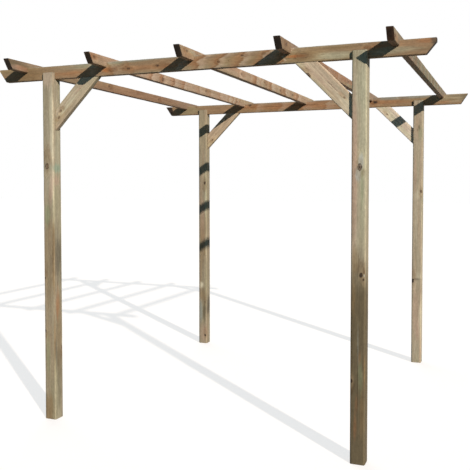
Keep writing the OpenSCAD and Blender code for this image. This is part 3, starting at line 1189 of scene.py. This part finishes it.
    def lay_ends(self):
        """Dark end grain on the sawn ends, darkest in the middle; the darkness is partly painted shade."""
        g = self.g
        sawn = scaled(self.wood.end, *END_TONES.get(self.timber.node, (1.0, 1.0, 1.0)))
        section = g.stretch(self.local, (0.0, 2 / self.timber.thick, 2 / self.timber.depth))
        middle = g.fall(g.vector("LENGTH", section), *MIDDLE_FALL)
        mottle = g.ramp(self.fibre["Mottle"], *MOTTLE_RISE)
        end = scaled(sawn, END_EARLY)
        for mask, (factor, share) in ((self.rings["Latewood"], END_LATE), (mottle, END_MOTTLE),
                                      (middle, END_MIDDLE)):
            end = g.mix(g.math("MULTIPLY", mask, share), end, scaled(sawn, factor))
        facing = g.math("ABSOLUTE", g.vector("DOT_PRODUCT", self.normal, self.timber.grain))
        self.tint = g.mix(g.ramp(facing, *END_FACING), self.tint, end)

    def set_surface(self):
        """Colour, roughness and relief."""
        g = self.g
        g.put(self.tint, self.shader.inputs["Base Color"])
        rough = g.math("MULTIPLY_ADD", self.fibre["Streak"], ROUGH_STREAK, ROUGH_LEVEL)
        rough = g.math("MULTIPLY_ADD", self.knots["Heart"], -KNOT_POLISH, rough)
        g.put(rough, self.shader.inputs["Roughness"])
        g.put(GLOSS, self.shader.inputs["Specular IOR Level"])
        relief = g.math("MULTIPLY", self.fibre["Hair"], HAIR_HEIGHT)
        relief = g.math("MULTIPLY_ADD", self.rings["Latewood"], LATEWOOD_HEIGHT, relief)
        relief = g.math("MULTIPLY_ADD", self.fibre["Streak"], STREAK_HEIGHT, relief)
        bump = g.node("ShaderNodeBump", {"Height": relief, "Distance": self.wood.grain_height,
                                         "Strength": RELIEF})
        g.put(bump.outputs["Normal"], self.shader.inputs["Normal"])

    def finish(self):
        """Takes all steps in order and returns the material."""
        self.lay_grain()
        self.lay_stains()
        self.lay_bands()
        self.lay_shade()
        self.lay_knots()
        self.lay_weather()
        self.lay_ends()
        self.set_surface()
        return self.material


def add_object(scene, name, data):
    """Puts a mesh, lamp or camera into the scene."""
    made = bpy.data.objects.new(name, data)
    scene.collection.objects.link(made)
    return made


def add_timber(context, timber):
    """Models, finishes and places one timber in its node's stead."""
    scene = context.scene
    mesh = model_timber(timber, scene.pergola_shape)
    mesh.materials.append(TimberFinish(timber, scene.pergola_wood).finish())
    piece = add_object(scene, timber.node + "_timber", mesh)
    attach(piece, BODY)
    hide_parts(timber.node)


# Places and sizes from the frame

# Height of the blunt nose left at the top of a beam's left and right ends, and its lean
BLUNT_TIPS = {"front_beam": (0.010, 0.022)}
NOSE_LEAN = 0.1
CORNERS = ("front_left", "front_right", "back_left", "back_right")
BEAMS = ("front_beam", "back_beam")
RAFTERS = tuple(f"rafter_{number}" for number in range(1, 6))

Box = namedtuple("Box", "low high middle span")


def box_of(node):
    """Corners, middle and size of a node."""
    low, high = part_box(node)
    return Box(low, high, (low + high) / 2, high - low)


def post_timber(node, shape):
    """Upright post with the slot for the beam in its top."""
    box = box_of(node)
    beam = box_of("front_beam")
    floor = beam.low.z - box.low.z
    side, cheek, top = box.span.y / 2, beam.span.y / 2, box.span.z
    outline = [(0, -side), (top, -side), (top, -cheek), (floor, -cheek),
               (floor, cheek), (top, cheek), (top, side), (0, side)]
    origin = (box.middle.x, box.middle.y, box.low.z)
    return Timber(node, "post", origin, ((0, 0, 1), (1, 0, 0), (0, 1, 0)), outline,
                  box.span.x, box.span.y, shape.post_arris, POST_FACES)


def beam_timber(node, shape):
    """Board on edge with undercut ends and blunt noses."""
    box = box_of(node)
    tip, half = box.span.x / 2, box.span.z / 2
    root = tip - box.span.z * math.tan(shape.end_cut)
    left, right = BLUNT_TIPS.get(node, (shape.tip_wear, shape.tip_wear))
    right_tip = tip - NOSE_LEAN * right
    outline = [(-root, -half), (root, -half), (right_tip, half - right), (right_tip, half),
               (-tip, half), (-tip + NOSE_LEAN * left, half - left)]
    return Timber(node, "beam", box.middle, ((1, 0, 0), (0, 1, 0), (0, 0, 1)), outline,
                  box.span.y, box.span.z, shape.board_arris, BEAM_FACES)


def rafter_timber(node, shape):
    """Board on edge with undercut ends and a notch over each beam."""
    box = box_of(node)
    tip, half = box.span.y / 2, box.span.z / 2
    root = tip - box.span.z * math.tan(shape.end_cut)
    outline = [(-root, -half)]
    for name in BEAMS:
        beam = box_of(name)
        seat = beam.high.z - box.middle.z
        outline += [(beam.low.y, -half), (beam.low.y, seat), (beam.high.y, seat), (beam.high.y, -half)]
    worn = shape.tip_wear
    outline += [(root, -half), (tip, half - worn), (tip, half), (-tip, half), (-tip, half - worn)]
    return Timber(node, "rafter", box.middle, ((0, 1, 0), (-1, 0, 0), (0, 0, 1)), outline,
                  box.span.x, box.span.z, shape.board_arris, RAFTER_FACES)


def brace_timber(node, shape):
    """Board at 45 degrees, cut upright against the post and level against the beam."""
    box = box_of(node)
    half, reach = shape.brace_depth / 2, box.span.x / math.sqrt(2)
    outline = [(-reach, -half), (reach, -half), (reach - 2 * half, half), (-reach + 2 * half, half)]
    side = 1 if box.middle.x < 0 else -1
    shift = (box.span.x - shape.brace_depth / math.sqrt(2)) / 2
    post_face = box.low.x if side > 0 else box.high.x
    origin = (post_face + side * shift, box.middle.y, box.high.z - shift)
    slope = math.sqrt(0.5)
    axes = ((side * slope, 0, slope), (0, side, 0), (-side * slope, 0, slope))
    return Timber(node, "brace", origin, axes, outline, box.span.y, shape.brace_depth, shape.board_arris,
                  LEFT_BRACE_FACES if side > 0 else RIGHT_BRACE_FACES)


class PERGOLA_OT_posts(bpy.types.Operator):
    """Build the four slotted posts"""
    bl_idname = "pergola.posts"
    bl_label = "Posts"

    def execute(self, context):
        for corner in CORNERS:
            add_timber(context, post_timber(corner + "_post", context.scene.pergola_shape))
        return {"FINISHED"}


class PERGOLA_OT_beams(bpy.types.Operator):
    """Build the front and back beams"""
    bl_idname = "pergola.beams"
    bl_label = "Beams"

    def execute(self, context):
        for node in BEAMS:
            add_timber(context, beam_timber(node, context.scene.pergola_shape))
        return {"FINISHED"}


class PERGOLA_OT_rafters(bpy.types.Operator):
    """Build the five notched rafters"""
    bl_idname = "pergola.rafters"
    bl_label = "Rafters"

    def execute(self, context):
        for node in RAFTERS:
            add_timber(context, rafter_timber(node, context.scene.pergola_shape))
        return {"FINISHED"}


class PERGOLA_OT_braces(bpy.types.Operator):
    """Build the four corner braces"""
    bl_idname = "pergola.braces"
    bl_label = "Braces"

    def execute(self, context):
        for corner in CORNERS:
            add_timber(context, brace_timber(corner + "_brace", context.scene.pergola_shape))
        return {"FINISHED"}


# Screws

SCREW_SIDES = 24
# Depth of a head in diameters. Then, in radii, its underside, rim and the land round its socket.
HEAD_DEPTH = 0.3
HEAD_FOOT = 0.45
HEAD_RIM = 0.08
HEAD_LAND = 0.42
RIM_STEPS = 2
# Star-shaped socket: number and depth of the lobes, and its depth as a share of the head's
DRIVE_LOBES = 6
LOBE_DEPTH = 0.2
DRIVE_DEPTH = 0.6
# Distance of a post's screws from its middle, as a share of its width
CHEEK_SCREW = 0.25
# Zinc: factors on its colour where dull and bright, metal of zinc and rust, then roughness of zinc and
# what the clouds and the rust add to it, and the range of the rust
ZINC_DULL = 0.7
ZINC_BRIGHT = 1.25
ZINC_METAL = 0.9
RUST_METAL = 0.1
ZINC_ROUGH = 0.32
CLOUD_ROUGH = 0.25
RUST_ROUGH = 0.3
RUST_RISE = (0.54, 0.66)


def top_face(bm):
    """The highest face of a mesh."""
    return max(bm.faces, key=lambda f: f.calc_center_median().z)


def screw_head(shape):
    """Countersunk head with a star-shaped socket, its rim at z = 0."""
    bm = bmesh.new()
    radius, deep = shape.screw_head / 2, shape.screw_head * HEAD_DEPTH
    bmesh.ops.create_cone(bm, cap_ends=True, segments=SCREW_SIDES, depth=deep,
                          radius1=radius * HEAD_FOOT, radius2=radius)
    bmesh.ops.translate(bm, verts=bm.verts[:], vec=(0, 0, -deep / 2))
    bevel(bm, list(top_face(bm).edges), radius * HEAD_RIM, RIM_STEPS)
    top = top_face(bm)
    bmesh.ops.inset_region(bm, faces=[top], thickness=radius * HEAD_LAND)
    for v in top.verts:
        lobe = 1 + LOBE_DEPTH * math.cos(DRIVE_LOBES * math.atan2(v.co.y, v.co.x))
        v.co.x *= lobe
        v.co.y *= lobe
    push(bm, top, (0, 0, -deep * DRIVE_DEPTH))
    bmesh.ops.delete(bm, geom=[top], context="FACES_ONLY")
    bmesh.ops.recalc_face_normals(bm, faces=bm.faces[:])
    close_up(bm)
    return bm


def screw_places(shape):
    """Timber, distance along, face and distance across of every screw."""
    for node in RAFTERS:
        rafter = rafter_timber(node, shape)
        for beam in BEAMS:
            yield rafter, box_of(beam).middle.y, "top", 0.0
    for corner in CORNERS:
        post = post_timber(corner + "_post", shape)
        slot_floor = box_of("front_beam").low.z
        for side in (-1, 1):
            yield post, (slot_floor + post.stop) / 2, "back", side * post.thick * CHEEK_SCREW
        brace = brace_timber(corner + "_brace", shape)
        for end in (-1, 1):
            yield brace, end * (brace.stop - shape.screw_set), "under", 0.0


def zinc_finish(wood):
    """Dulled zinc with spots of rust."""
    material, g, shader = new_material("dull_zinc")
    place = g.node("ShaderNodeTexCoord").outputs["Object"]
    cloud = g.noise("cloud", place)
    spots = g.ramp(g.noise("spots", place), *RUST_RISE)
    clean = g.mix(cloud, scaled(wood.zinc, ZINC_DULL), scaled(wood.zinc, ZINC_BRIGHT))
    metal = g.math("MULTIPLY_ADD", spots, RUST_METAL - ZINC_METAL, ZINC_METAL)
    rough = g.math("MULTIPLY_ADD", cloud, CLOUD_ROUGH, ZINC_ROUGH)
    g.put(g.mix(spots, clean, tuple(wood.rust)), shader.inputs["Base Color"])
    g.put(metal, shader.inputs["Metallic"])
    g.put(g.math("MULTIPLY_ADD", spots, RUST_ROUGH, rough), shader.inputs["Roughness"])
    return material


class PERGOLA_OT_screws(bpy.types.Operator):
    """Set the screws in the rafters, posts and braces"""
    bl_idname = "pergola.screws"
    bl_label = "Screws"

    def execute(self, context):
        scene = context.scene
        shape = scene.pergola_shape
        chance = random.Random(SCREW_SEED)
        head = screw_head(shape)
        mesh = bpy.data.meshes.new("screws")
        joined = bmesh.new()
        for timber, along, face, across in screw_places(shape):
            place = timber.place(along, face, across) + timber.bow(along, shape)
            spin = Matrix.Rotation(chance.uniform(0, math.pi), 3, "Z")
            turn = timber.out(face).to_track_quat("Z", "Y").to_matrix() @ spin
            one = head.copy()
            one.transform(timber.matrix @ Matrix.Translation(place) @ turn.to_4x4())
            one.to_mesh(mesh)
            one.free()
            joined.from_mesh(mesh)
        joined.to_mesh(mesh)
        joined.free()
        head.free()
        mesh.materials.append(zinc_finish(scene.pergola_wood))
        piece = add_object(scene, "screws", mesh)
        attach(piece, BODY)
        return {"FINISHED"}


# Stage

CAMERA_PLACE = (1.9221, -5.3248, 1.6250)
CAMERA_YAW = math.radians(21.923)
CAMERA_PITCH = math.radians(-2.066)
CAMERA_SHIFT = -0.0511
SENSOR_WIDTH = 36.0
TOWARDS_SUN = Vector((1.0, -0.90, 0.61))
TOWARDS_BACK = Vector((-0.55, 0.75, 0.45))
WHITE = (1.0, 1.0, 1.0)
FILL_COLOUR = (0.29, 0.65, 1.0)
# Floor: half its side, its colour and glow to the camera, and its colour to the timbers
FLOOR_HALF = 60.0
FLOOR_COLOUR = (0.46, 0.38, 0.32)
FLOOR_GLOW = 0.66
FLOOR_DULL = (0.06, 0.065, 0.06)


def seen_directly(g):
    """1 for what the camera sees, straight or through gloss and glass."""
    path = g.node("ShaderNodeLightPath").outputs
    seen = g.math("MAXIMUM", path["Is Camera Ray"], path["Is Glossy Ray"])
    return g.math("MAXIMUM", seen, path["Is Transmission Ray"])


def floor_finish():
    """Pale floor that keeps the shadow and throws little light back up."""
    material, g, shader = new_material("pale_floor")
    nodes = material.node_tree.nodes
    nodes.remove(shader)
    matt = g.node("ShaderNodeBsdfDiffuse", {"Color": FLOOR_COLOUR}).outputs[0]
    glow = g.node("ShaderNodeEmission", {"Color": WHITE, "Strength": FLOOR_GLOW}).outputs[0]
    shown = g.node("ShaderNodeAddShader", {0: matt, 1: glow}).outputs[0]
    dull = g.node("ShaderNodeBsdfDiffuse", {"Color": FLOOR_DULL}).outputs[0]
    mixed = g.node("ShaderNodeMixShader", {0: seen_directly(g), 1: dull, 2: shown}).outputs[0]
    g.put(mixed, nodes["Material Output"].inputs["Surface"])
    return material


def add_camera(scene, stage):
    """Camera at eye height, in front and to the right."""
    lens = bpy.data.cameras.new("camera")
    lens.sensor_width = SENSOR_WIDTH
    lens.lens = stage.lens
    lens.shift_y = CAMERA_SHIFT
    camera = add_object(scene, "camera", lens)
    camera.location = CAMERA_PLACE
    camera.rotation_euler = (math.pi / 2 + CAMERA_PITCH, 0.0, CAMERA_YAW)
    scene.camera = camera


def add_lamp(scene, name, towards, energy, width):
    """Distant lamp in one direction."""
    lamp = bpy.data.lights.new(name, "SUN")
    lamp.energy = energy
    lamp.angle = width
    holder = add_object(scene, name, lamp)
    holder.rotation_euler = towards.to_track_quat("Z", "Y").to_euler()


def add_world(scene, stage):
    """Even bluish light all round, white where it is seen."""
    world = bpy.data.worlds.new("studio")
    world.use_nodes = True
    scene.world = world
    nodes = world.node_tree.nodes
    g = Graph(world.node_tree)
    even = nodes["Background"]
    g.put(FILL_COLOUR, even.inputs["Color"])
    g.put(stage.fill, even.inputs["Strength"])
    white = g.node("ShaderNodeBackground", {"Color": WHITE, "Strength": 1.0}).outputs[0]
    mixed = g.node("ShaderNodeMixShader", {0: seen_directly(g), 1: even.outputs[0], 2: white}).outputs[0]
    g.put(mixed, nodes["World Output"].inputs["Surface"])


def add_floor(scene):
    """Wide floor under the posts."""
    bm = bmesh.new()
    bmesh.ops.create_grid(bm, x_segments=2, y_segments=2, size=FLOOR_HALF)
    mesh = bpy.data.meshes.new("floor")
    bm.to_mesh(mesh)
    bm.free()
    mesh.materials.append(floor_finish())
    floor = add_object(scene, "floor", mesh)


class PERGOLA_OT_stage(bpy.types.Operator):
    """Set up the camera, the studio light and the pale floor"""
    bl_idname = "pergola.stage"
    bl_label = "Stage"

    def execute(self, context):
        scene = context.scene
        stage = scene.pergola_stage
        add_camera(scene, stage)
        add_lamp(scene, "key", TOWARDS_SUN, stage.sun, stage.sun_soft)
        add_lamp(scene, "back", TOWARDS_BACK, stage.back, stage.back_soft)
        add_world(scene, stage)
        add_floor(scene)
        scene.view_settings.view_transform = "Standard"
        return {"FINISHED"}


class PERGOLA_PT_panel(bpy.types.Panel):
    """Buttons for the pergola's timbers and stage"""
    bl_idname = "PERGOLA_PT_panel"
    bl_label = "Pergola"
    bl_space_type = "VIEW_3D"
    bl_region_type = "UI"
    bl_category = "Pergola"

    def draw(self, context):
        for operator in OPERATORS:
            self.layout.operator(operator.bl_idname)
        for name in SETTINGS:
            group = getattr(context.scene, name)
            column = self.layout.column()
            for label in group.__annotations__:
                column.prop(group, label)


OPERATORS = (PERGOLA_OT_posts, PERGOLA_OT_beams, PERGOLA_OT_rafters, PERGOLA_OT_braces, PERGOLA_OT_screws,
             PERGOLA_OT_stage)
SETTINGS = {"pergola_shape": PergolaShape, "pergola_wood": PergolaWood, "pergola_stage": PergolaStage}


def register():
    """Makes the settings, operators and panel known to Blender."""
    for name, group in SETTINGS.items():
        bpy.utils.register_class(group)
        setattr(bpy.types.Scene, name, PointerProperty(type=group))
    for operator in OPERATORS:
        bpy.utils.register_class(operator)
    bpy.utils.register_class(PERGOLA_PT_panel)


def unregister():
    """Takes them back, last first."""
    bpy.utils.unregister_class(PERGOLA_PT_panel)
    for operator in reversed(OPERATORS):
        bpy.utils.unregister_class(operator)
    for name, group in reversed(SETTINGS.items()):
        delattr(bpy.types.Scene, name)
        bpy.utils.unregister_class(group)


def main():
    """Builds the pergola and its stage."""
    register()
    bpy.ops.pergola.posts()
    bpy.ops.pergola.beams()
    bpy.ops.pergola.rafters()
    bpy.ops.pergola.braces()
    bpy.ops.pergola.screws()
    bpy.ops.pergola.stage()


if __name__ == "__main__":
    main()
